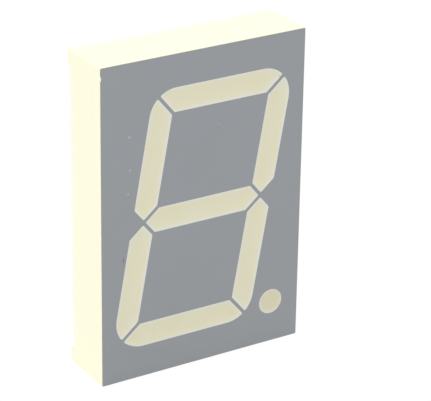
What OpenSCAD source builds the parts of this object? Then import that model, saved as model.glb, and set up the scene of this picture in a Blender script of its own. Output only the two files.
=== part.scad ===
// One digit seven segment light emitting display with a decimal point, standing on its lower side.
// +Z is up, the face looks along -Y, and the origin is under the middle of the whole part.

/* [Digit] */
// Height of the digit over its outer edges
digit_h = 44.6; // [38:0.2:56]
// Width of the digit over its outer edges, before it leans
digit_w = 26.5; // [24:0.5:34]
// Lean of the digit to the right, in degrees
lean_deg = 10; // [6:0.5:11]
// Width of each lit bar
bar_w = 4.2; // [3.4:0.1:4.6]
// Gap between the ends of neighbouring bars
bar_gap = 0.58; // [0.4:0.02:1]
// Radius of the digit's four outer corners
digit_r = 5; // [4:0.1:6]
// Small radius on the sharp corners of each bar
tip_r = 0.25; // [0.1:0.05:0.4]
// Distance of the digit's middle to the right of the face's middle
digit_x = -0.1; // [-0.4:0.1:0.2]
// Diameter of the decimal point
point_d = 4.5; // [3.6:0.1:4.8]
// Distance of the decimal point's middle from the leaning side of the digit
point_gap = 4; // [3.8:0.1:4.4]
// Height of the decimal point's middle above the foot of the digit
point_rise = 1.9; // [1.2:0.1:3]

/* [Housing] */
// Height of the face above the digit and below it
end_margin = 5.7; // [5.2:0.1:9]
// Width of the face beside the digit, before the digit leans
side_margin = 5.75; // [5.5:0.05:9]
// Depth of the housing from the face to the back rim
body_d = 10.2; // [9.2:0.1:14]
// Radius of the four long corners
corner_r = 0.25; // [0.1:0.05:0.8]
// Thickness of the side walls around the circuit board
wall_t = 1.2; // [0.9:0.1:1.5]
// Width of the ledge that the circuit board sits on
ledge_w = 0.6; // [0.4:0.1:0.8]
// Thickness of the face between the light wells
face_t = 1.2; // [0.9:0.1:2]
// Radius of the corners of the recess that holds the circuit board
bay_r = 0.5; // [0.3:0.1:0.8]
// Height of the four standoffs at the back corners
foot_h = 0.5; // [0.3:0.1:1.5]
// Length of each standoff along both edges of its corner
foot_l = 2.8; // [2:0.1:5]
// Thickness of the grey print on the face
print_t = 0.05; // [0.03:0.01:0.1]
// Bare margin between the print and the edge of the face
print_edge = 0.06; // [0.02:0.01:0.2]

/* [Light wells] */
// Depth of the straight lip at the mouth of each light well
lip_d = 0.8; // [0.4:0.1:1.2]
// Distance that each side of a well leans in from its lip to the circuit board
taper = 1; // [0.7:0.05:1.1]
// Thickness of the plastic between a well and the hollow beside it
well_wall = 0.9; // [0.7:0.05:1.1]
// Thickness of the ribs between the hollows
rib_t = 0.9; // [0.6:0.1:1.4]
// Radius of the corners of the hollows
hollow_r = 0.5; // [0.3:0.1:0.7]

/* [Circuit board] */
// Thickness of the circuit board
board_t = 1.6; // [0.8:0.1:2]
// Clearance between the edge of the circuit board and the housing
board_gap = 0.15; // [0.1:0.05:0.3]
// Thickness of the copper, which lies level with the white mask
copper_t = 0.035; // [0.018:0.001:0.07]
// Width of the copper tracks
track_w = 0.35; // [0.25:0.05:0.45]
// Distance of the outer tracks from the edge of the board
track_edge = 1.6; // [1:0.1:1.8]
// Distance from a land to the bend in a track that would cross another
track_step = 1; // [0.9:0.1:1.2]

/* [Light chips] */
// Side of each light emitting chip
chip_w = 0.3; // [0.2:0.05:0.4]
// Height of each light emitting chip
chip_h = 0.2; // [0.15:0.01:0.3]
// Distance between the two chips of a bar
chip_pitch = 9.6; // [8.6:0.2:10.4]
// Side of the copper land under each chip and each wire's end
land_w = 0.6; // [0.5:0.05:0.7]
// Distance from a chip to the land that its wire reaches
wire_span = 1; // [0.9:0.05:1.2]
// Height of the wire's loop over the chip
wire_rise = 0.3; // [0.2:0.02:0.5]
// Diameter of the bond wire
wire_d = 0.04; // [0.03:0.005:0.06]

/* [Pins] */
// Distance between neighbouring pins
pin_pitch = 2.54; // [2.4:0.01:2.6]
// Distance from the end of the digit to the row of pins
row_gap = 1.83; // [1.7:0.01:2.2]
// Diameter of the bare wire of each pin
pin_d = 0.47; // [0.4:0.01:0.6]
// Thickness of the tin on each pin behind the standoffs
tin_t = 0.015; // [0.005:0.005:0.03]
// Length of each pin behind the standoffs
pin_out = 6; // [3:0.1:10]
// Length of each pin in front of the circuit board
pin_in = 0.6; // [0.6:0.1:1]
// Chamfer at both ends of each pin
pin_chamfer = 0.1; // [0.05:0.01:0.15]
// Height of the solder cone on both faces of the circuit board
solder_h = 0.4; // [0.2:0.05:0.45]
// Clearance of the plated hole around each pin
hole_gap = 0.2; // [0.1:0.02:0.3]
// Width of the copper ring around each hole
ring_w = 0.35; // [0.25:0.05:0.4]
// Width at the edge of the ring that the solder leaves bare
ring_bare = 0.09; // [0.05:0.01:0.12]

/* [Potting] */
// Depth of the potting's surface below the back rim
pot_sink = 0.4; // [0.2:0.1:0.8]
// Thickness of the potting over the circuit board
pot_t = 1.8; // [1:0.1:2.2]
// Height of the resin that creeps up each pin
creep_h = 0.3; // [0.1:0.05:0.35]

/* [Hidden] */
// The seven bars in the usual order, from the top one clockwise, with the middle one last
BARS = ["a", "b", "c", "d", "e", "f", "g"];
LAMPS = concat([for (b = BARS) str("segment_", b)], ["decimal_point"]);
row_pins = 5;
PINS = 2 * row_pins;
$fn = 48;

// Depths behind the front of the print
seat_y = body_d + foot_h;
pot_y = body_d - pot_sink;
board_back = pot_y - pot_t;
board_y = board_back - board_t;
pin_end = seat_y + pin_out;

// Widths and heights that follow from the digit and its margins
body_w = digit_w + 2 * side_margin;
body_h = digit_h + 2 * end_margin;
row_span = digit_h + 2 * row_gap;

// Widths and heights that follow from the walls
bay_w = body_w - 2 * wall_t;
bay_h = body_h - 2 * wall_t;
core_w = bay_w - 2 * ledge_w;
core_h = bay_h - 2 * ledge_w;
board_w = bay_w - 2 * board_gap;
board_h = bay_h - 2 * board_gap;

// The digit's half sizes, its lean and the directions of its slanted sides and mitred ends
half_w = digit_w / 2;
half_h = digit_h / 2;
shift = tan(lean_deg);
middle = [digit_x, 0];
upright = unit([shift, 1]);
mitre_right = unit([1 + shift, 1]);
mitre_left = unit([shift - 1, 1]);

// Steps of the curves in the outlines
arc_steps = 6;
tip_steps = 3;

// The turn at which a corner counts as sharp, and the share of an edge that its radius may use
sharp_turn = 20;
edge_share = 0.45;
overcut = 1;

pin_r = pin_d / 2;
hole_r = pin_r + hole_gap;
ring_r = hole_r + ring_w;
solder_r = ring_r - ring_bare;
pin_z = row_span / 2;
point_at = leaned([half_w + point_gap, point_rise - half_h]);

function unit(v) = v / norm(v);
function left_of(u) = [-u[1], u[0]];
function cross2(u, v) = u[0] * v[1] - u[1] * v[0];
function reversed(list) = [for (i = [len(list) - 1:-1:0]) list[i]];

// Where the line through p along u meets the line through q along v
function meet(p, u, q, v) = p + u * cross2(q - p, v) / cross2(u, v);

// Where the line through p along the unit vector u leaves the circle about c
function leave(c, r, p, u) =
    let (w = p - c, b = w * u)
    p + u * (sqrt(b * b - w * w + r * r) - b);

function bearing(c, p) = atan2(p[1] - c[1], p[0] - c[0]);
function arc(c, r, from, to, steps) =
    [for (k = [0:steps]) let (t = from + (to - from) * k / steps) c + r * [cos(t), sin(t)]];

// The outline with a small radius on each sharp corner, no longer than its edges allow
function softened(outline, r) =
    let (n = len(outline))
    [for (i = [0:n - 1]) let (
        p = outline[i],
        to_here = p - outline[(i + n - 1) % n],
        from_here = outline[(i + 1) % n] - p,
        turn = acos(max(-1, min(1, unit(to_here) * unit(from_here)))),
        room = edge_share * min(norm(to_here), norm(from_here)),
        reach = min(room, r * tan(turn / 2))
    ) each turn < sharp_turn ? [p] : let (
        start = p - reach * unit(to_here),
        radius = reach / tan(turn / 2),
        c = start + radius * left_of(unit(to_here)),
        a = bearing(c, start)
    ) arc(c, radius, a, a + turn, tip_steps)];

function rounded_box(w, h, r) = [
    each arc([w / 2 - r, h / 2 - r], r, 0, 90, arc_steps),
    each arc([r - w / 2, h / 2 - r], r, 90, 180, arc_steps),
    each arc([r - w / 2, r - h / 2], r, 180, 270, arc_steps),
    each arc([w / 2 - r, r - h / 2], r, 270, 360, arc_steps)
];

// A point of the upright digit, moved to where it lies once the digit leans
function leaned(p) = middle + [p[0] + p[1] * shift, p[1]];
function half_turned(outline) = [for (p = outline) 2 * middle - p];

// The middle of the outer corner's arc at the upper left (-1) or the upper right (1)
function corner_centre(side) =
    meet([0, half_h - digit_r], [1, 0],
        leaned([side * half_w, 0]) + side * digit_r * left_of(upright), upright);

// The top bar, with every edge drawn in by the inset
function top_bar(inset) =
    let (
        clear = bar_gap / 2 + inset,
        right = leaned([half_w, half_h]) + clear * left_of(mitre_right),
        left = leaned([-half_w, half_h]) - clear * left_of(mitre_left),
        inner = [0, half_h - bar_w + inset],
        r = digit_r - inset,
        centre_right = corner_centre(1),
        centre_left = corner_centre(-1),
        end_right = leave(centre_right, r, right, mitre_right),
        end_left = leave(centre_left, r, left, mitre_left)
    )
    [
        meet(inner, [1, 0], left, mitre_left),
        meet(inner, [1, 0], right, mitre_right),
        each arc(centre_right, r, bearing(centre_right, end_right), 90, arc_steps),
        each arc(centre_left, r, 90, bearing(centre_left, end_left), arc_steps)
    ];

// The upper bar at the left (-1) or the right (1), which is mitred at its top and pointed at its foot
function upper_bar(side, inset) =
    let (
        clear = bar_gap / 2 + inset,
        outward = side > 0 ? mitre_right : mitre_left,
        inward = side > 0 ? mitre_left : mitre_right,
        foot = leaned([side * (half_w - bar_w / 2), 0]),
        foot_out = foot + side * clear * left_of(outward),
        foot_in = foot - side * clear * left_of(inward),
        mitre = leaned([side * half_w, half_h]) - side * clear * left_of(outward),
        outer = leaned([side * half_w, 0]) + side * inset * left_of(upright),
        inner = leaned([side * (half_w - bar_w), 0]) - side * inset * left_of(upright),
        r = digit_r - inset,
        centre = corner_centre(side),
        flank = 90 - 90 * side - lean_deg,
        end = leave(centre, r, mitre, outward),
        outline = [
            meet(foot_out, outward, foot_in, inward),
            meet(foot_out, outward, outer, upright),
            each arc(centre, r, flank, bearing(centre, end), arc_steps),
            meet(mitre, outward, inner, upright),
            meet(foot_in, inward, inner, upright)
        ]
    )
    side > 0 ? outline : reversed(outline);

// The middle bar, pointed at both ends
function middle_bar(inset) =
    let (
        clear = bar_gap / 2 + inset,
        end = leaned([half_w - bar_w / 2, 0]),
        below = end + clear * left_of(mitre_right),
        above = end + clear * left_of(mitre_left),
        half_bar = bar_w / 2 - inset,
        right_end = [
            meet(below, mitre_right, [0, -half_bar], [1, 0]),
            meet(below, mitre_right, above, mitre_left),
            meet(above, mitre_left, [0, half_bar], [1, 0])
        ]
    )
    concat(right_end, half_turned(right_end));

function sharp_bar(i, inset) =
    i == 0 ? top_bar(inset)
    : i == 1 ? upper_bar(1, inset)
    : i == 2 ? half_turned(upper_bar(-1, inset))
    : i == 3 ? half_turned(top_bar(inset))
    : i == 4 ? half_turned(upper_bar(1, inset))
    : i == 5 ? upper_bar(-1, inset)
    : middle_bar(inset);
function bar_outline(i, inset) = softened(sharp_bar(i, inset), tip_r);

// The middle of each bar and the way its current runs, from the common side to its own pin's side
function bar_centre(i) =
    leaned([
        (i == 1 || i == 2 ? 1 : i == 4 || i == 5 ? -1 : 0) * (half_w - bar_w / 2),
        (i == 0 ? 1 : i == 3 ? -1 : i == 1 || i == 5 ? 0.5 : i == 6 ? 0 : -0.5) * (half_h - bar_w / 2)
    ]);
function bar_run(i) = i == 0 ? [1, 0] : i == 3 || i == 6 ? [-1, 0] : i == 1 || i == 5 ? upright : -upright;

// Lamps 0 to 6 are the bars and 7 is the decimal point. Each place holds a chip and its pad.
function lamp_run(i) = i < 7 ? bar_run(i) : [0, -1];
function lamp_places(i) =
    i < 7 ? [for (s = [-1, 1]) bar_centre(i) + s * chip_pitch / 2 * bar_run(i)] : [point_at];
function chip_at(i, place) = place - wire_span / 2 * lamp_run(i);
function pad_at(i, place) = place + wire_span / 2 * lamp_run(i);
function common_end(i) = chip_at(i, lamp_places(i)[0]);
function pin_side_end(i) = let (places = lamp_places(i)) pad_at(i, places[len(places) - 1]);

// Pins 1 to 5 run along the bottom row from the left, and 6 to 10 along the top row from the right
function pin_at(n) =
    n <= row_pins
    ? [(n - (row_pins + 1) / 2) * pin_pitch, -pin_z]
    : [((3 * row_pins + 1) / 2 - n) * pin_pitch, pin_z];

// Places a piece that is drawn about the middle of the face, with its depth towards +Y
module stand() {
    translate([0, -pin_end / 2, body_h / 2]) children();
}

// A plate of the outline below it, between two depths
module slab(from, to) {
    translate([0, to, 0]) rotate([90, 0, 0]) linear_extrude(height = to - from) children();
}

// A round bar along the depth
module rod(at, r, from, to) {
    translate([at[0], to, at[1]]) rotate([90, 0, 0]) cylinder(r = r, h = to - from);
}

// A profile of radius and depth, turned about a line along the depth
module turned(at, profile) {
    translate([at[0], 0, at[1]]) rotate([-90, 0, 0]) rotate_extrude() polygon(profile);
}

// A closed skin over rings of as many points each
module skin(rings) {
    n = len(rings[0]);
    last = len(rings) - 1;
    polyhedron(
        points = [for (ring = rings) each ring],
        faces = [
            [for (j = [n - 1:-1:0]) j],
            [for (j = [0:n - 1]) last * n + j],
            for (k = [0:last - 1], j = [0:n - 1]) let (a = k * n + j, b = k * n + (j + 1) % n)
                each [[a, b, b + n], [a, b + n, a + n]]
        ]
    );
}

function at_depth(outline, y) = [for (p = outline) [p[0], y, p[1]]];

// The funnel of one lamp: a straight lip, then walls that lean in to the circuit board
module funnel(i, beyond = 0) {
    if (i < 7) {
        mouth = bar_outline(i, 0);
        floor = bar_outline(i, taper);
        skin([
            at_depth(mouth, 0),
            at_depth(mouth, lip_d),
            at_depth(floor, board_y),
            if (beyond > 0) at_depth(floor, board_y + beyond)
        ]);
    } else {
        floor_r = point_d / 2 - taper;
        turned(point_at, [
            [0, 0],
            [point_d / 2, 0],
            [point_d / 2, lip_d],
            [floor_r, board_y],
            if (beyond > 0) [floor_r, board_y + beyond],
            [0, board_y + beyond]
        ]);
    }
}

// A hollow behind the face, from its outline at the face to its wider outline at the board
module hollow(front, back) {
    skin([
        at_depth(softened(front, hollow_r), face_t),
        at_depth(softened(back, hollow_r), board_y),
        at_depth(softened(back, hollow_r), board_y + overcut)
    ]);
}

// The hollows inside the digit's two loops, four to a loop, with a crossed rib between them
function loop_cell(loop, column, row, wall) =
    let (
        inside = half_w - bar_w - wall,
        low = bar_w / 2 + wall,
        high = half_h - bar_w - wall,
        centre = (bar_w / 2 + half_h - bar_w) / 2,
        x0 = column > 0 ? rib_t / 2 : -inside,
        x1 = column > 0 ? inside : -rib_t / 2,
        z0 = row > 0 ? centre + rib_t / 2 : low,
        z1 = row > 0 ? high : centre - rib_t / 2,
        cell = [leaned([x0, z0]), leaned([x1, z0]), leaned([x1, z1]), leaned([x0, z1])]
    )
    loop > 0 ? cell : half_turned(cell);

// The hollows beyond the end of the digit, which also leave room for the pins, in three cells
function band_cell(column, reach, wall) =
    let (
        low = reach + wall,
        high = core_h / 2,
        rib_x = (row_pins + 1) / 2 * pin_pitch,
        x0 = column < 0 ? -core_w / 2 : column > 0 ? rib_x + rib_t / 2 : -rib_x + rib_t / 2,
        x1 = column < 0 ? -rib_x - rib_t / 2 : column > 0 ? core_w / 2 : rib_x - rib_t / 2
    )
    [[x0, low], [x1, low], [x1, high], [x0, high]];

// A hollow beside the digit at the left (-1) or the right (1), between two heights
function side_cell(side, from, to, wall) =
    let (
        near = leaned([side * half_w, 0]) - side * wall * left_of(upright),
        far = side * core_w / 2,
        low = meet(near, upright, [0, from], [1, 0]),
        high = meet(near, upright, [0, to], [1, 0])
    )
    side > 0
    ? [low, [far, from], [far, to], high]
    : [[far, from], low, high, [far, to]];

module hollows() {
    wide = well_wall;
    thin = well_wall - taper;
    for (loop = [-1, 1], column = [0, 1], row = [0, 1])
        hollow(loop_cell(loop, column, row, wide), loop_cell(loop, column, row, thin));
    for (column = [-1:1]) {
        hollow(band_cell(column, half_h, wide), band_cell(column, half_h, thin));
        reach = column < 0 ? max(half_h, point_d / 2 - point_at[1]) : half_h;
        hollow(-1 * band_cell(column, reach, wide), -1 * band_cell(column, reach, thin));
    }
    for (cell = side_heights())
        hollow(
            side_cell(cell[0], cell[1], cell[2], wide),
            side_cell(cell[0], cell[1], cell[2], thin)
        );
}

// Each hollow beside the digit: its side, and the heights between which it is wide enough to core
function side_heights() =
    let (
        step = rib_t / 2,
        top = half_h - rib_t,
        narrow = half_h / 2,
        point_top = well_wall + point_d / 2 + point_at[1]
    )
    [
        [1, step, narrow],
        [1, point_top + rib_t, -step],
        [-1, step, top],
        [-1, -narrow, -step]
    ];

// White moulded housing: face, walls, eight light wells, hollows between them and corner standoffs
module reflector_housing() {
    color("#fbf8dc") stand() difference() {
        slab(print_t, seat_y) polygon(rounded_box(body_w, body_h, corner_r));
        slab(body_d, seat_y + overcut) {
            square([body_w - 2 * foot_l, body_h + 2 * overcut], center = true);
            square([body_w + 2 * overcut, body_h - 2 * foot_l], center = true);
        }
        slab(board_y, seat_y + overcut) polygon(rounded_box(bay_w, bay_h, bay_r));
        for (i = [0:7]) funnel(i, overcut);
        hollows();
    }
}

// Grey print over the whole face, open over the lamps
module face_print() {
    color("#94989c") stand() difference() {
        slab(0, print_t) polygon(rounded_box(body_w - 2 * print_edge, body_h - 2 * print_edge, corner_r));
        for (i = [0:6]) slab(-overcut, print_t + overcut) polygon(bar_outline(i, 0));
        rod(point_at, point_d / 2, -overcut, print_t + overcut);
    }
}

// Milky resin that fills one well, cast around the chips and wires
module fill(i) {
    color("#dad6bc") stand() difference() {
        funnel(i);
        for (place = lamp_places(i)) {
            chip_block(chip_at(i, place), overcut);
            wire_loop(i, place, overcut);
        }
    }
}

module chip_block(at, beyond = 0) {
    translate([at[0] - chip_w / 2, board_y - chip_h, at[1] - chip_w / 2])
        cube([chip_w, chip_h + beyond, chip_w]);
}

module chips(i) {
    color("#5a3a34") stand() for (place = lamp_places(i)) chip_block(chip_at(i, place));
}

// The arch of a bond wire, from the top of its chip to its land, with a straight lead at both ends
module wire_loop(i, place, lead = 0) {
    sides = 6;
    steps = 8;
    run = lamp_run(i);
    start = chip_at(i, place);
    along = [run[0], 0, run[1]];
    across = [-run[1], 0, run[0]];
    inward = [0, 1, 0];
    rings = [for (k = [0:steps]) let (
        t = 180 * k / steps,
        done = (1 - cos(t)) / 2,
        height = chip_h * (1 - done) + wire_rise * sin(t),
        centre = [start[0], board_y - height, start[1]] + wire_span * done * along,
        climb = wire_rise * cos(t) - chip_h / 2 * sin(t),
        out = cross(across, unit(wire_span / 2 * sin(t) * along - climb * inward))
    ) [for (j = [0:sides - 1]) let (a = 360 * j / sides)
        centre + wire_d / 2 * (cos(a) * across + sin(a) * out)]];
    skin([
        if (lead > 0) [for (p = rings[0]) p + lead * inward],
        each rings,
        if (lead > 0) [for (p = rings[steps]) p + lead * inward]
    ]);
}

module wires(i) {
    color("#c9cacb") stand() for (place = lamp_places(i)) wire_loop(i, place);
}

// One straight stretch of track, with square ends that reach round the bends
module track(p, q) {
    u = unit(q - p) * track_w / 2;
    v = left_of(u);
    polygon([p - u - v, q + u - v, q + u + v, p - u + v]);
}

module route(points) {
    for (k = [0:len(points) - 2]) track(points[k], points[k + 1]);
}

// A square of copper, turned to lie along its bar
module land(at, run) {
    translate(at) rotate(bearing([0, 0], run)) square(land_w, center = true);
}

// All copper on the front of the board: lands for chips and wires, and the routes to the pins
module front_copper() {
    lane = board_w / 2 - track_edge;
    step = [0, track_step];
    for (i = [0:7]) {
        for (place = lamp_places(i)) {
            land(chip_at(i, place), lamp_run(i));
            land(pad_at(i, place), lamp_run(i));
        }
        if (i < 7) route([pad_at(i, lamp_places(i)[0]), chip_at(i, lamp_places(i)[1])]);
    }
    route([pin_at(1), [pin_side_end(4)[0], -pin_z], pin_side_end(4)]);
    route([pin_at(2), pin_side_end(3) - step, pin_side_end(3)]);
    route([pin_at(3), common_end(3), common_end(4)]);
    route([pin_at(4), pin_side_end(2)]);
    route([pin_at(5), pin_side_end(7)]);
    route([pin_at(6), [pin_side_end(1)[0], pin_z], pin_side_end(1)]);
    route([pin_at(7), pin_side_end(0) + step, pin_side_end(0)]);
    route([pin_at(8), common_end(0), common_end(5) + [2 * track_step, 0], common_end(5)]);
    route([pin_at(9), pin_side_end(5)]);
    route([pin_at(10), [-lane, pin_z], [-lane, 0], pin_side_end(6)]);
    route([common_end(0), common_end(6), common_end(3)]);
    route([common_end(2), common_end(6), common_end(1)]);
    route([common_end(1), [lane, common_end(1)[1]], [lane, common_end(7)[1]], common_end(7)]);
}

module copper_shape() {
    slab(board_y, board_y + copper_t) front_copper();
    for (n = [1:PINS]) {
        rod(pin_at(n), ring_r, board_y, board_y + copper_t);
        rod(pin_at(n), ring_r, board_back - copper_t, board_back);
    }
}

module pin_holes() {
    for (n = [1:PINS]) rod(pin_at(n), hole_r, board_y - overcut, board_back + overcut);
}

// Tracks, lands and rings, level with the mask of the board
module copper_tracks() {
    color("#c58b5c") stand() difference() {
        copper_shape();
        pin_holes();
    }
}

// Glass fibre board, recessed for its copper
module circuit_board() {
    color("#e6ebe2") stand() difference() {
        slab(board_y, board_back) square([board_w, board_h], center = true);
        copper_shape();
        pin_holes();
    }
}

// Round pin with a chamfer at both ends, dipped in tin as far as the standoffs
module pin(n) {
    tinned_r = pin_r + tin_t;
    start = board_y - pin_in;
    color("#c8cacb") stand() turned(pin_at(n), [
        [0, pin_end],
        [tinned_r - pin_chamfer, pin_end],
        [tinned_r, pin_end - pin_chamfer],
        [tinned_r, seat_y],
        [pin_r, seat_y],
        [pin_r, start + pin_chamfer],
        [pin_r - pin_chamfer, start],
        [0, start]
    ]);
}

// Solder through each hole, with a cone on both faces of the board
module solder_joints() {
    color("#b6babc") stand() for (n = [1:PINS]) turned(pin_at(n), [
        [pin_r, board_y - solder_h],
        [solder_r, board_y],
        [hole_r, board_y],
        [hole_r, board_back],
        [solder_r, board_back],
        [pin_r, board_back + solder_h]
    ]);
}

// Milky resin behind and around the board, level below the rim and raised a little around each pin
module back_potting() {
    color("#dcd8be") stand() difference() {
        union() {
            slab(board_y, pot_y) polygon(rounded_box(bay_w, bay_h, bay_r));
            for (n = [1:PINS]) turned(pin_at(n), [
                [0, board_back],
                [ring_r, board_back],
                [ring_r, pot_y],
                [pin_r, pot_y + creep_h],
                [0, pot_y + creep_h]
            ]);
        }
        slab(board_y - overcut, board_back) square([board_w, board_h], center = true);
        for (n = [1:PINS]) {
            rod(pin_at(n), pin_r, board_y, pin_end);
            turned(pin_at(n), [
                [0, board_back - overcut],
                [solder_r, board_back - overcut],
                [solder_r, board_back],
                [pin_r, board_back + solder_h],
                [0, board_back + solder_h]
            ]);
        }
    }
}

reflector_housing();
face_print();
for (i = [0:7]) fill(i);
circuit_board();
copper_tracks();
for (i = [0:7]) chips(i);
for (i = [0:7]) wires(i);
for (n = [1:PINS]) pin(n);
solder_joints();
back_potting();
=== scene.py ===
import math

import bpy
from mathutils import Matrix, Vector


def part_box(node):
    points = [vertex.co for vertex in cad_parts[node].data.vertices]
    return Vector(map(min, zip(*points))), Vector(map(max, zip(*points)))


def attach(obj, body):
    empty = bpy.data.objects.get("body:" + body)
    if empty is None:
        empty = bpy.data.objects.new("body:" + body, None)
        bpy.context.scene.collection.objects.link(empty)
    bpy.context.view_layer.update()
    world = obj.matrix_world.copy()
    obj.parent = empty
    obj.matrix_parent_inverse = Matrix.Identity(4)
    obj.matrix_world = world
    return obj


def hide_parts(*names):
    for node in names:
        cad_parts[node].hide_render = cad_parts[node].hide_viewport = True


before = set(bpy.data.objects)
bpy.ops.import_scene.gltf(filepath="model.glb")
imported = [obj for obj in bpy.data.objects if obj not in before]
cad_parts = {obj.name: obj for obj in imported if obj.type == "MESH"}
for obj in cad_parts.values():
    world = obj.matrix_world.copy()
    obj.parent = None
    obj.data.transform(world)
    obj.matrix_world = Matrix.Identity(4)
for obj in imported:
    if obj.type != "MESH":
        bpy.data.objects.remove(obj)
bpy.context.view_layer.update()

# Reflector housing
# One injection moulding of white filled polycarbonate: face, side walls, light wells and corner standoffs.
# Its mould was spark eroded, so the outside is an even fine satin, and its pigment is a warm ivory.

MM = 0.001


def linear(hex_code):
    """The linear colour of an sRGB hex value such as #c0ffee."""
    parts = [int(hex_code[i:i + 2], 16) / 255 for i in (1, 3, 5)]
    return (*[p / 12.92 if p <= 0.04045 else ((p + 0.055) / 1.055) ** 2.4 for p in parts], 1.0)


def add(tree, kind, settings=(), **inputs):
    """A shader node of that kind. Settings are its own properties, and inputs are values or links. An input
    goes by its name, with _ for each space, or by its number, as in _0."""
    made = tree.nodes.new("ShaderNode" + kind)
    for name, value in dict(settings).items():
        setattr(made, name, value)
    for name, value in inputs.items():
        key = int(name[1:]) if name[1:].isdigit() else name.replace("_", " ")
        if isinstance(value, bpy.types.NodeSocket):
            tree.links.new(value, made.inputs[key])
        else:
            made.inputs[key].default_value = value
    return made


def start_material(name):
    """An empty material and its node tree, with an output that finish_material fills."""
    made = bpy.data.materials.new(name)
    made.use_nodes = True
    made.node_tree.nodes.clear()
    return made, made.node_tree


def finish_material(made, skin):
    """Links the shader to the output."""
    out = made.node_tree.nodes.new("ShaderNodeOutputMaterial")
    made.node_tree.links.new(skin.outputs[0], out.inputs[0])
    return made


def dress(thing, finish):
    """Gives the whole of a piece one finish."""
    thing.data.materials.clear()
    thing.data.materials.append(finish)


def moulded_polycarbonate():
    """Filled polycarbonate from a spark eroded mould: a soft sheen and a fine grain.
    The real grain is near 0.04 mm, and it is drawn three times as coarse so that it shows close up.
    The free rim at the back is painted paler, as painted light that shines through the narrow wall there,
    and most so on the side walls between their solid corners."""
    made, tree = start_material("moulded_polycarbonate")
    place = add(tree, "TexCoord").outputs["Object"]
    flow_mm = 9
    flow = add(tree, "TexNoise", Vector=place, Scale=1 / (flow_mm * MM), Detail=2.0).outputs[0]
    tint = add(tree, "Mix", {"data_type": "RGBA"}, Factor=flow,
               _6=linear("#fdfbdd"), _7=linear("#fcfadf")).outputs[2]

    spot = add(tree, "SeparateXYZ", Vector=place).outputs
    # Painted light: towards the back rim the colour is painted paler, standing in for light that shines
    # through the wall; the side walls get more of it than the end walls.
    thin_from_mm = -0.5
    rim_mm = 1.9
    rim_glow_ramp = add(tree, "MapRange", {"interpolation_type": "SMOOTHSTEP"}, Value=spot[1],
               From_Min=thin_from_mm * MM, From_Max=rim_mm * MM).outputs[0]
    solid_corner_mm = 2.8
    corner_fade_mm = 0.3
    end_wall_glow = 0.3
    side_wall_glow = 0.8
    low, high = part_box("reflector_housing")
    corner = (high.z - low.z) / 2 - solid_corner_mm * MM
    height = add(tree, "Math", {"operation": "SUBTRACT"}, _0=spot[2], _1=(low.z + high.z) / 2).outputs[0]
    height = add(tree, "Math", {"operation": "ABSOLUTE"}, _0=height).outputs[0]
    side_share = add(tree, "MapRange", Value=height, From_Min=corner,
                     From_Max=corner - corner_fade_mm * MM, To_Max=side_wall_glow).outputs[0]
    on_side = add(tree, "SeparateXYZ", Vector=add(tree, "NewGeometry").outputs["Normal"]).outputs[0]
    on_side = add(tree, "Math", {"operation": "ABSOLUTE"}, _0=on_side).outputs[0]
    share = add(tree, "Mix", Factor=on_side, _2=end_wall_glow, _3=side_share).outputs[0]
    pale = add(tree, "Math", {"operation": "MULTIPLY"}, _0=rim_glow_ramp, _1=share).outputs[0]
    tint = add(tree, "Mix", {"data_type": "RGBA"}, Factor=pale, _6=tint, _7=linear("#fdfcf2")).outputs[2]

    grain_mm = 0.12
    grain_height_mm = 0.01
    grain = add(tree, "TexNoise", Vector=place, Scale=1 / (grain_mm * MM), Detail=3.0).outputs[0]
    bump = add(tree, "Bump", Strength=0.12, Distance=grain_height_mm * MM, Height=grain)
    sheen = add(tree, "MapRange", Value=flow, To_Min=0.42, To_Max=0.5).outputs[0]
    return finish_material(made, add(
        tree, "BsdfPrincipled", Base_Color=tint, Roughness=sheen, Normal=bump.outputs[0], IOR=1.58))


def only_active(thing):
    """Selects one object alone and makes it active."""
    bpy.ops.object.select_all(action="DESELECT")
    thing.select_set(True)
    bpy.context.view_layer.objects.active = thing


def split_broad_faces():
    """In edit mode, splits each face of more than four sides into triangles of an even shape."""
    bpy.ops.mesh.select_mode(type="FACE")
    bpy.ops.mesh.select_all(action="DESELECT")
    bpy.ops.mesh.select_face_by_sides(number=4, type="GREATER")
    bpy.ops.mesh.quads_convert_to_tris(quad_method="BEAUTY", ngon_method="BEAUTY")
    bpy.ops.mesh.select_all(action="DESELECT")
    bpy.ops.mesh.select_mode(type="VERT")


def merged_copy(node, name):
    """A copy of a node's mesh with its triangles joined and its flat faces made whole."""
    weld_mm = 0.001
    flat_deg = 0.2
    piece = bpy.data.objects.new(name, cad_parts[node].data.copy())
    bpy.context.scene.collection.objects.link(piece)
    only_active(piece)
    bpy.ops.object.mode_set(mode="EDIT")
    bpy.ops.mesh.select_all(action="SELECT")
    bpy.ops.mesh.remove_doubles(threshold=weld_mm * MM)
    bpy.ops.mesh.dissolve_limited(angle_limit=math.radians(flat_deg))
    bpy.ops.mesh.select_all(action="DESELECT")
    bpy.ops.object.mode_set(mode="OBJECT")
    return piece


def stand_for(piece, node):
    """Shows a piece in the place of a node of the CAD model."""
    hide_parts(node)
    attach(piece, "root")


moulding = merged_copy("reflector_housing", "housing_moulding")
standoff_mm = 0.5
edge_radius_mm = 0.12
level_mm = 0.01  # points that lie within this of a plane are on it
rim_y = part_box("reflector_housing")[1].y - standoff_mm * MM
points = moulding.data.vertices
for edge in moulding.data.edges:
    edge.select = all(points[v].co.y > rim_y - level_mm * MM for v in edge.vertices)
bpy.ops.object.mode_set(mode="EDIT")
bpy.ops.mesh.select_mode(type="EDGE")
bpy.ops.mesh.bevel(offset=edge_radius_mm * MM, segments=2, affect="EDGES", clamp_overlap=False)
split_broad_faces()
bpy.ops.object.mode_set(mode="OBJECT")
bpy.ops.object.shade_smooth_by_angle(angle=math.radians(30))
flat_sides = moulding.modifiers.new("flat_sides", "WEIGHTED_NORMAL")
flat_sides.keep_sharp = True
bpy.ops.object.modifier_apply(modifier="flat_sides")
dress(moulding, moulded_polycarbonate())
stand_for(moulding, "reflector_housing")

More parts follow.
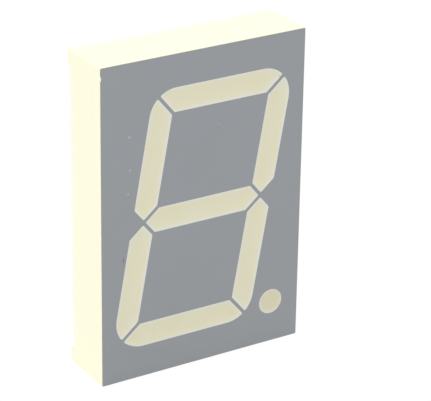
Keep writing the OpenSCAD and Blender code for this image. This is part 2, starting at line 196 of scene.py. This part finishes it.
# Face print
# One pass of matt grey screen ink over the face of the housing, open over the lamps.
# Three pale specks, a dark one and a bent hair were caught in it while wet, and a chip left its left edge.


def mark(tree, place, at, size, turn):
    """How much of a small soft oval covers a place on the face. Places and sizes are in millimetres, and
    the turn is in degrees. Its soft edge lies between two shares of its half size."""
    solid_share = 0.6
    gone_share = 1.3
    inside = add(tree, "Mapping", {"vector_type": "TEXTURE"}, Vector=place,
                 Location=(at[0] * MM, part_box("face_print")[0].y, at[1] * MM),
                 Rotation=(0, math.radians(-turn), 0),
                 Scale=(size[0] / 2 * MM, MM, size[1] / 2 * MM)).outputs[0]
    reach = add(tree, "VectorMath", {"operation": "LENGTH"}, Vector=inside).outputs["Value"]
    return add(tree, "MapRange", {"interpolation_type": "SMOOTHSTEP"}, Value=reach,
               From_Min=gone_share, From_Max=solid_share).outputs[0]


def screen_ink():
    """Matt ink: even and dull, with the tooth that the threads of the screen leave, and what it caught.
    The threads lie about 0.08 mm apart, and their tooth is drawn twice as coarse so that it shows."""
    made, tree = start_material("matt_screen_ink")
    place = add(tree, "TexCoord").outputs["Object"]
    drift_mm = 14
    drift = add(tree, "TexNoise", Vector=place, Scale=1 / (drift_mm * MM), Detail=1.0).outputs[0]
    shade = add(tree, "Mix", {"data_type": "RGBA"}, Factor=drift,
                _6=linear("#8d9195"), _7=linear("#919498")).outputs[2]
    speck = (0.38, 0.38)
    marks = [
        ("#b0b3b4", (-13.81, 43.47), speck, 0),
        ("#a6a9aa", (-13.73, 37.77), speck, 0),
        ("#a6a9aa", (-14.05, 33.67), speck, 0),
        ("#979a9d", (2.71, 42.45), (1.2, 0.3), -37),
        ("#979a9d", (3.76, 41.77), (0.9, 0.25), -9),
        ("#605e5b", (-14.96, 22.18), (0.13, 0.9), 2),
        ("#f4f2da", (-18.93, 54.2), (0.26, 0.85), 0),
    ]
    for colour, at, size, turn in marks:
        shade = add(tree, "Mix", {"data_type": "RGBA"}, Factor=mark(tree, place, at, size, turn),
                    _6=shade, _7=linear(colour)).outputs[2]
    tooth_mm = 0.15
    tooth_height_mm = 0.01
    tooth = add(tree, "TexNoise", Vector=place, Scale=1 / (tooth_mm * MM), Detail=2.0).outputs[0]
    dull = add(tree, "MapRange", Value=tooth, To_Min=0.56, To_Max=0.68).outputs[0]
    bump = add(tree, "Bump", Strength=0.15, Distance=tooth_height_mm * MM, Height=tooth)
    return finish_material(made, add(
        tree, "BsdfPrincipled", Base_Color=shade, Roughness=dull, Normal=bump.outputs[0]))


dress(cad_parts["face_print"], screen_ink())

# Lamp fills
# Milky epoxy with fine diffusant, cast flush in each well over the chips and wires and cured.
# It shrinks a little, so each surface dips just inside its edge, and near the white wall it is painted
# paler, as painted light that the wall throws back through the resin.


def diffused_epoxy(name, deep, near):
    """Milky epoxy: a warm translucent body, with a soft mottle where its diffusant gathers."""
    made, tree = start_material(name)
    place = add(tree, "TexCoord").outputs["Object"]
    # Painted light: near the wall of the well the colour is painted paler, standing in for light that the
    # white wall throws back through the resin.
    wall = add(tree, "Attribute", {"attribute_name": "wall_distance"}).outputs["Fac"]
    wall_glow_mm = 0.8
    amount = add(tree, "MapRange", {"interpolation_type": "SMOOTHSTEP"}, Value=wall,
                 From_Max=wall_glow_mm).outputs[0]
    for mottle_mm, strength in ((4, 0.5), (0.5, 0.2)):
        cloud = add(tree, "TexNoise", Vector=place, Scale=1 / (mottle_mm * MM), Detail=2.0).outputs[0]
        change = add(tree, "MapRange", Value=cloud, To_Min=-strength, To_Max=strength).outputs[0]
        amount = add(tree, "Math", _0=amount, _1=change).outputs[0]
    tint = add(tree, "Mix", {"data_type": "RGBA", "clamp_factor": False}, Factor=amount,
               _6=linear(near), _7=linear(deep)).outputs[2]
    skin_mm = 1.6
    skin_height_mm = 0.05
    skin = add(tree, "TexNoise", Vector=place, Scale=1 / (skin_mm * MM), Detail=2.0).outputs[0]
    gloss = add(tree, "MapRange", Value=skin, To_Min=0.33, To_Max=0.43).outputs[0]
    bump = add(tree, "Bump", Strength=0.3, Distance=skin_height_mm * MM, Height=skin)
    return finish_material(made, add(
        tree, "BsdfPrincipled", Base_Color=tint, Roughness=gloss, Normal=bump.outputs[0], IOR=1.53))


def cut_net(piece, faces, cuts):
    """Cuts some faces of a piece along planes, each given by a place and the way that it faces."""
    for face in faces:
        face.select = True
    bpy.ops.object.mode_set(mode="EDIT")
    bpy.ops.mesh.hide(unselected=True)
    for at, way in cuts:
        bpy.ops.mesh.select_all(action="SELECT")
        bpy.ops.mesh.bisect(plane_co=at, plane_no=way)
    bpy.ops.mesh.reveal(select=False)
    split_broad_faces()
    bpy.ops.object.mode_set(mode="OBJECT")


def note(piece, name, values):
    """Keeps one number for each point of a piece, which its material reads."""
    layer = piece.data.attributes.new(name, "FLOAT", "POINT")
    layer.data.foreach_set("value", values)


def to_line(p, a, b):
    """Distance from a point to the straight line between two others."""
    along = b - a
    share = max(0.0, min(1.0, (p - a).dot(along) / along.length_squared))
    return (a + along * share - p).length


def cast_fill(lamp, run, finish):
    """The cured fill of one lamp, over its own solid: its mouth is cut into a fine net, which then dips.
    The net runs along the bar and across it. The dip grows from the edge and is full half a bar in."""
    net_mm = 0.35
    dip_mm = 0.18
    half_bar_mm = 2.1
    piece = merged_copy(lamp + "_fill", lamp + "_resin")
    low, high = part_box(lamp + "_fill")
    flush = low.y + level_mm * MM
    mouth = [f for f in piece.data.polygons if f.normal.y < -0.99 and f.center.y < flush]
    edge = [piece.data.vertices[v].co.copy() for v in mouth[0].vertices]
    steps = math.ceil((high - low).length / 2 / (net_mm * MM))
    across = Vector((-run.z, 0, run.x))
    cut_net(piece, mouth, [((low + high) / 2 + way * (k + 0.5) * net_mm * MM, way)
                           for way in (run, across) for k in range(-steps, steps + 1)])
    distances = []
    for v in piece.data.vertices:
        away = 0
        if v.co.y < flush:
            away = min(to_line(v.co, edge[i - 1], edge[i]) for i in range(len(edge))) / MM
        v.co.y += dip_mm * MM * (1 - (1 - min(away / half_bar_mm, 1)) ** 2)
        distances.append(away)
    note(piece, "wall_distance", distances)
    only_active(piece)
    bpy.ops.object.shade_smooth_by_angle(angle=math.radians(30))
    dress(piece, finish)
    stand_for(piece, lamp + "_fill")


level = Vector((1, 0, 0))
lean = math.radians(10)
leaning = Vector((math.sin(lean), 0, math.cos(lean)))
runs = {"segment_" + letter: level if letter in "adg" else leaning for letter in "abcdefg"}
bar_epoxy = diffused_epoxy("diffused_epoxy_bar", deep="#dad6ba", near="#dadacd")
point_epoxy = diffused_epoxy("diffused_epoxy_point", deep="#d2ccae", near="#d3d2c6")
for bar, run in runs.items():
    cast_fill(bar, run, bar_epoxy)
cast_fill("decimal_point", level, point_epoxy)

# Circuit board
# Glass fibre laminate under a white solder mask, so that it throws light forward, routed from a panel.
# Its cut edges show the bare yellowish laminate, and the weave prints faintly through the mask.


def masked_laminate():
    """White mask over woven glass: a slight gloss with the weave under it, and dull bare edges."""
    made, tree = start_material("masked_glass_laminate")
    place = add(tree, "TexCoord").outputs["Object"]
    thread_mm = 0.45
    wave_length = math.tau / 20  # of a wave texture whose scale is 1
    threads = [add(tree, "TexWave", {"bands_direction": way}, Vector=place,
                   Scale=wave_length / (thread_mm * MM), Distortion=0.4).outputs["Fac"] for way in "XZ"]
    weave = add(tree, "Math", {"operation": "MULTIPLY"}, _0=threads[1], _1=threads[0]).outputs[0]
    mask = add(tree, "Mix", {"data_type": "RGBA"}, Factor=weave,
               _6=linear("#e9ede7"), _7=linear("#eff2ec")).outputs[2]
    on_face = add(tree, "SeparateXYZ", Vector=add(tree, "NewGeometry").outputs["Normal"]).outputs[1]
    on_face = add(tree, "Math", {"operation": "ABSOLUTE"}, _0=on_face).outputs[0]
    tint = add(tree, "Mix", {"data_type": "RGBA"}, Factor=on_face,
               _6=linear("#cfc79b"), _7=mask).outputs[2]
    gloss = add(tree, "MapRange", Value=on_face, To_Min=0.8, To_Max=0.34).outputs[0]
    weave_height_mm = 0.01
    bump = add(tree, "Bump", Strength=0.25, Distance=weave_height_mm * MM, Height=weave)
    return finish_material(made, add(
        tree, "BsdfPrincipled", Base_Color=tint, Roughness=gloss, Normal=bump.outputs[0], IOR=1.55))


dress(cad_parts["circuit_board"], masked_laminate())

# Copper
# Rolled copper foil, laid on the glass fibre and etched to tracks, lands and rings.
# It lies level with the mask, and rolling left fine lines along the board.


def etched_foil():
    """Etched copper foil: warm metal, dulled a little by the fine lines of rolling."""
    made, tree = start_material("etched_copper_foil")
    place = add(tree, "TexCoord").outputs["Object"]
    line_mm = 0.06
    line_stretch = 0.04
    along = add(tree, "Mapping", Vector=place, Scale=(1, 1, line_stretch)).outputs[0]
    lines = add(tree, "TexNoise", Vector=along, Scale=1 / (line_mm * MM), Detail=2.0).outputs[0]
    tint = add(tree, "Mix", {"data_type": "RGBA"}, Factor=lines,
               _6=linear("#bd8454"), _7=linear("#cd9264")).outputs[2]
    dull = add(tree, "MapRange", Value=lines, To_Min=0.28, To_Max=0.44).outputs[0]
    return finish_material(made, add(
        tree, "BsdfPrincipled", Base_Color=tint, Roughness=dull, Metallic=1.0))


dress(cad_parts["copper_tracks"], etched_foil())

# Light chips
# Gallium arsenide phosphide dice, two in each bar and one in the point, glued to their lands with silver
# paste. Each is sawn from a polished wafer: its top is bright, and its sides are frosted by the saw.


def sawn_phosphide():
    """Dark red-brown crystal: polished on top and frosted by the saw on its sides."""
    made, tree = start_material("sawn_gallium_arsenide_phosphide")
    place = add(tree, "TexCoord").outputs["Object"]
    front = add(tree, "SeparateXYZ", Vector=add(tree, "NewGeometry").outputs["Normal"]).outputs[1]
    top = add(tree, "MapRange", Value=front, From_Min=-0.5, From_Max=-0.9).outputs[0]
    kerf_mm = 0.02
    saw = add(tree, "TexNoise", Vector=place, Scale=1 / (kerf_mm * MM), Detail=2.0).outputs[0]
    side = add(tree, "Mix", {"data_type": "RGBA"}, Factor=saw,
               _6=linear("#4c2f2a"), _7=linear("#5c3b34")).outputs[2]
    tint = add(tree, "Mix", {"data_type": "RGBA"}, Factor=top, _6=side, _7=linear("#6b463e")).outputs[2]
    gloss = add(tree, "MapRange", Value=top, To_Min=0.55, To_Max=0.15).outputs[0]
    return finish_material(made, add(
        tree, "BsdfPrincipled", Base_Color=tint, Roughness=gloss, IOR=1.9))


phosphide = sawn_phosphide()
lamps = [*runs, "decimal_point"]
for lamp in lamps:
    dress(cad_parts[lamp + "_chips"], phosphide)

# Bond wires
# Aluminium wire, finer than a hair, welded by sound from the top of each chip to the next land.
# It was drawn through dies, so it is bright, with hardly a mark.


def drawn_aluminium():
    """Drawn aluminium: bright, with a faint change of gloss along the wire."""
    made, tree = start_material("drawn_aluminium")
    place = add(tree, "TexCoord").outputs["Object"]
    die_mm = 0.2
    die = add(tree, "TexNoise", Vector=place, Scale=1 / (die_mm * MM), Detail=1.0).outputs[0]
    tint = add(tree, "Mix", {"data_type": "RGBA"}, Factor=die,
               _6=linear("#c2c3c5"), _7=linear("#d0d1d1")).outputs[2]
    gloss = add(tree, "MapRange", Value=die, To_Min=0.16, To_Max=0.3).outputs[0]
    return finish_material(made, add(
        tree, "BsdfPrincipled", Base_Color=tint, Roughness=gloss, Metallic=1.0))


aluminium = drawn_aluminium()
for lamp in lamps:
    dress(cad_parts[lamp + "_wires"], aluminium)

# Pins
# Round brass pins in two rows of five, dipped in molten tin where they stand out of the back.
# The dip drains along each pin, so its gloss runs in streaks.


def dipped_tin():
    """Tin from the dip: pale metal with streaks along the pin and a soft cloud of oxide."""
    made, tree = start_material("dipped_tin")
    place = add(tree, "TexCoord").outputs["Object"]
    streak_mm = 0.09
    streak_stretch = 0.08
    streak_height_mm = 0.01
    along = add(tree, "Mapping", Vector=place, Scale=(1, streak_stretch, 1)).outputs[0]
    streak = add(tree, "TexNoise", Vector=along, Scale=1 / (streak_mm * MM), Detail=2.0).outputs[0]
    cloud_mm = 1.2
    cloud = add(tree, "TexNoise", Vector=place, Scale=1 / (cloud_mm * MM), Detail=2.0).outputs[0]
    tint = add(tree, "Mix", {"data_type": "RGBA"}, Factor=cloud,
               _6=linear("#b9bcbd"), _7=linear("#d0d2d3")).outputs[2]
    dull = add(tree, "MapRange", Value=streak, To_Min=0.14, To_Max=0.36).outputs[0]
    bump = add(tree, "Bump", Strength=0.3, Distance=streak_height_mm * MM, Height=streak)
    return finish_material(made, add(
        tree, "BsdfPrincipled", Base_Color=tint, Roughness=dull, Metallic=1.0, Normal=bump.outputs[0]))


tin = dipped_tin()
pins = ["pin_%d" % n for n in range(1, 11)]
for pin in pins:
    dress(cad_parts[pin], tin)

# Solder joints
# Tin solder, drawn through the plated hole of each pin, with a small cone on both faces of the board.
# It is bright where it wetted the pin, and it freezes with a frosty grain.


def frosted_solder():
    """Tin solder: a bright metal, mottled by its crystals."""
    made, tree = start_material("frosted_solder")
    place = add(tree, "TexCoord").outputs["Object"]
    crystal_mm = 0.1
    crystal_height_mm = 0.01
    grain = add(tree, "TexVoronoi", Vector=place, Scale=1 / (crystal_mm * MM)).outputs["Distance"]
    tint = add(tree, "Mix", {"data_type": "RGBA"}, Factor=grain,
               _6=linear("#c0c4c6"), _7=linear("#a9adaf")).outputs[2]
    dull = add(tree, "MapRange", Value=grain, To_Min=0.2, To_Max=0.4).outputs[0]
    bump = add(tree, "Bump", Strength=0.3, Distance=crystal_height_mm * MM, Height=grain)
    return finish_material(made, add(
        tree, "BsdfPrincipled", Base_Color=tint, Roughness=dull, Metallic=1.0, Normal=bump.outputs[0]))


dress(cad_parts["solder_joints"], frosted_solder())

# Back potting
# Milky epoxy poured over the back of the board while the housing lies on its face, and cured in an oven.
# It creeps up the walls and the pins before it sets, shrinks in the middle, and greys over the solder.


def potted_epoxy():
    """Poured epoxy: glossy and cloudy, a little greyer where the solder joints lie close under it."""
    made, tree = start_material("potted_epoxy")
    place = add(tree, "TexCoord").outputs["Object"]
    cloud_mm = 7
    cloud = add(tree, "TexNoise", Vector=place, Scale=1 / (cloud_mm * MM), Detail=3.0).outputs[0]
    tint = add(tree, "Mix", {"data_type": "RGBA"}, Factor=cloud,
               _6=linear("#d9d5ba"), _7=linear("#e2dec6")).outputs[2]
    pin_away = add(tree, "Attribute", {"attribute_name": "pin_distance"}).outputs["Fac"]
    grey_to_mm = 1.1
    greyest_mm = 0.3
    over_solder = add(tree, "MapRange", {"interpolation_type": "SMOOTHSTEP"}, Value=pin_away,
                      From_Min=grey_to_mm, From_Max=greyest_mm, To_Max=0.4).outputs[0]
    tint = add(tree, "Mix", {"data_type": "RGBA"}, Factor=over_solder,
               _6=tint, _7=linear("#c8c6b3")).outputs[2]
    ripple_mm = 2.5
    ripple_height_mm = 0.05
    ripple = add(tree, "TexNoise", Vector=place, Scale=1 / (ripple_mm * MM), Detail=1.0).outputs[0]
    gloss = add(tree, "MapRange", Value=ripple, To_Min=0.09, To_Max=0.2).outputs[0]
    bump = add(tree, "Bump", Strength=0.4, Distance=ripple_height_mm * MM, Height=ripple)
    return finish_material(made, add(
        tree, "BsdfPrincipled", Base_Color=tint, Roughness=gloss, Normal=bump.outputs[0], IOR=1.53))


potting = merged_copy("back_potting", "back_resin")
pot_low, pot_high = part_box("back_potting")
pin_places = [(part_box(pin)[0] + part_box(pin)[1]) / 2 for pin in pins]
creep_mm = 0.3
surface_y = pot_high.y - creep_mm * MM
poured = [f for f in potting.data.polygons
          if f.normal.y > 0.5 and f.center.y > surface_y - level_mm * MM]

# Its surface is cut into a net of 1 mm, closer round each pin and along the walls
pin_steps_mm = (0.35, 0.45, 0.6, 0.8, 1.1)
wall_steps_mm = (0.06, 0.14, 0.25, 0.4, 0.6, 0.9, 1.3)
cuts = []
for axis, way in ((0, Vector((1, 0, 0))), (2, Vector((0, 0, 1)))):
    places = {round(p[axis] / MM + side * step, 3)
              for p in pin_places for side in (-1, 1) for step in (0, *pin_steps_mm)}
    places |= {pot_low[axis] / MM + step for step in wall_steps_mm}
    places |= {pot_high[axis] / MM - step for step in wall_steps_mm}
    middle = (pot_low[axis] + pot_high[axis]) / MM / 2
    reach = math.floor((pot_high[axis] - pot_low[axis]) / MM / 2) - 1
    places |= {middle + step for step in range(-reach, reach + 1)}
    cuts += [(way * place * MM, way) for place in sorted(places)]
cut_net(potting, poured, cuts)

bay_corner_mm = 0.5
wall_fall_mm = 0.3
pin_fall_mm = 0.22
pin_radius_mm = 0.235
sink_mm = 0.08
half = Vector(((pot_high.x - pot_low.x) / 2, (pot_high.z - pot_low.z) / 2)) / MM
bay_centre = Vector(((pot_high.x + pot_low.x) / 2, (pot_high.z + pot_low.z) / 2))
pin_distances = []
for v in potting.data.vertices:
    pin_mm = min(math.hypot(v.co.x - p.x, v.co.z - p.z) for p in pin_places) / MM
    pin_distances.append(pin_mm)
    if v.co.y < surface_y - level_mm * MM:
        continue
    # How far it lies in from the wall of the bay, whose corners are rounded
    x, z = [abs(c) for c in (Vector((v.co.x, v.co.z)) - bay_centre) / MM]
    into = Vector((x - half.x + bay_corner_mm, z - half.y + bay_corner_mm))
    wall_mm = bay_corner_mm - Vector((max(into.x, 0), max(into.y, 0))).length - min(max(into.x, into.y), 0)
    up_wall = math.exp(-max(wall_mm, 0) / wall_fall_mm)
    up_pin = math.exp(-max(pin_mm - pin_radius_mm, 0) / pin_fall_mm)
    sink = sink_mm * (1 - (x / half.x) ** 2) * (1 - (z / half.y) ** 2)
    v.co.y = surface_y + (creep_mm * max(up_wall, up_pin) - sink * (1 - up_pin)) * MM
note(potting, "pin_distance", pin_distances)
only_active(potting)
bpy.ops.object.shade_smooth_by_angle(angle=math.radians(40))
dress(potting, potted_epoxy())
stand_for(potting, "back_potting")

# Floor and light
# A plain white table in a white room, with one large soft lamp high over its left side.
# The table shows white to the eye and keeps the faint shadow of the display.


def looked_at(tree):
    """1 for light that goes straight to the eye, or by way of gloss or glass, and 0 for the rest."""
    path = add(tree, "LightPath").outputs
    seen = add(tree, "Math", _0=path["Is Camera Ray"], _1=path["Is Glossy Ray"]).outputs[0]
    return add(tree, "Math", {"use_clamp": True}, _0=seen, _1=path["Is Transmission Ray"]).outputs[0]


def white_table():
    """A white top: it glows to the eye and to gloss, and scatters the lamp to the rest."""
    made, tree = start_material("white_table")
    glow_share = 0.88
    glow_level = 1.02
    share = add(tree, "Math", {"operation": "MULTIPLY"}, _0=looked_at(tree), _1=glow_share).outputs[0]
    top = add(tree, "BsdfDiffuse", Color=linear("#fafafa")).outputs[0]
    glow = add(tree, "Emission", Color=(1, 1, 1, 1), Strength=glow_level).outputs[0]
    return finish_material(made, add(tree, "MixShader", _0=share, _1=top, _2=glow))


table_radius_m = 3
bpy.ops.object.select_all(action="DESELECT")
bpy.ops.mesh.primitive_circle_add(vertices=64, radius=table_radius_m, fill_type="NGON",
                                  location=(0, 0, 0))
table = bpy.context.active_object
table.name = "table"
dress(table, white_table())

room_level = 0.82
world = bpy.data.worlds.new("white_room")
bpy.context.scene.world = world
world.use_nodes = True
sky = world.node_tree
sky.nodes.clear()
strength = add(sky, "MapRange", Value=looked_at(sky), To_Min=room_level, To_Max=1.0).outputs[0]
room = add(sky, "Background", Color=(1, 1, 1, 1), Strength=strength).outputs[0]
sky.links.new(room, sky.nodes.new("ShaderNodeOutputWorld").inputs[0])

lamp_across_m = 0.5
lamp_watts = 2.1
lamp_at_m = Vector((-0.22, -0.2, 0.75))
lamp_aim_m = Vector((0, 0, 0.03))
lamp_data = bpy.data.lights.new("soft_lamp", "AREA")
lamp_data.shape = "DISK"
lamp_data.size = lamp_across_m
lamp_data.energy = lamp_watts
soft_lamp = bpy.data.objects.new("soft_lamp", lamp_data)
bpy.context.scene.collection.objects.link(soft_lamp)
soft_lamp.location = lamp_at_m
soft_lamp.rotation_euler = (lamp_aim_m - lamp_at_m).to_track_quat("-Z", "Y").to_euler()

# Camera
# It stands to the left and a little above, as far off as the perspective of the photograph says.
sideways = Vector((0.8534, -0.52106, 0.01454))
downward = Vector((-0.20484, -0.36087, -0.90984))
forward = Vector((0.47932, 0.77348, -0.4147))
stand_mm = Vector((-170.553, -287.29, 178.48))
focal_px = 2205
photo_width_px = 431
sensor_mm = 36
nearest_mm = 10
camera_data = bpy.data.cameras.new("camera")
camera_data.sensor_width = sensor_mm
camera_data.lens = sensor_mm * focal_px / photo_width_px
camera_data.clip_start = nearest_mm * MM
camera = bpy.data.objects.new("camera", camera_data)
bpy.context.scene.collection.objects.link(camera)
turn = Matrix((sideways, -downward, -forward)).transposed()
camera.matrix_world = Matrix.LocRotScale(stand_mm * MM, turn.to_quaternion(), None)
bpy.context.scene.camera = camera
bpy.context.scene.view_settings.view_transform = "Standard"
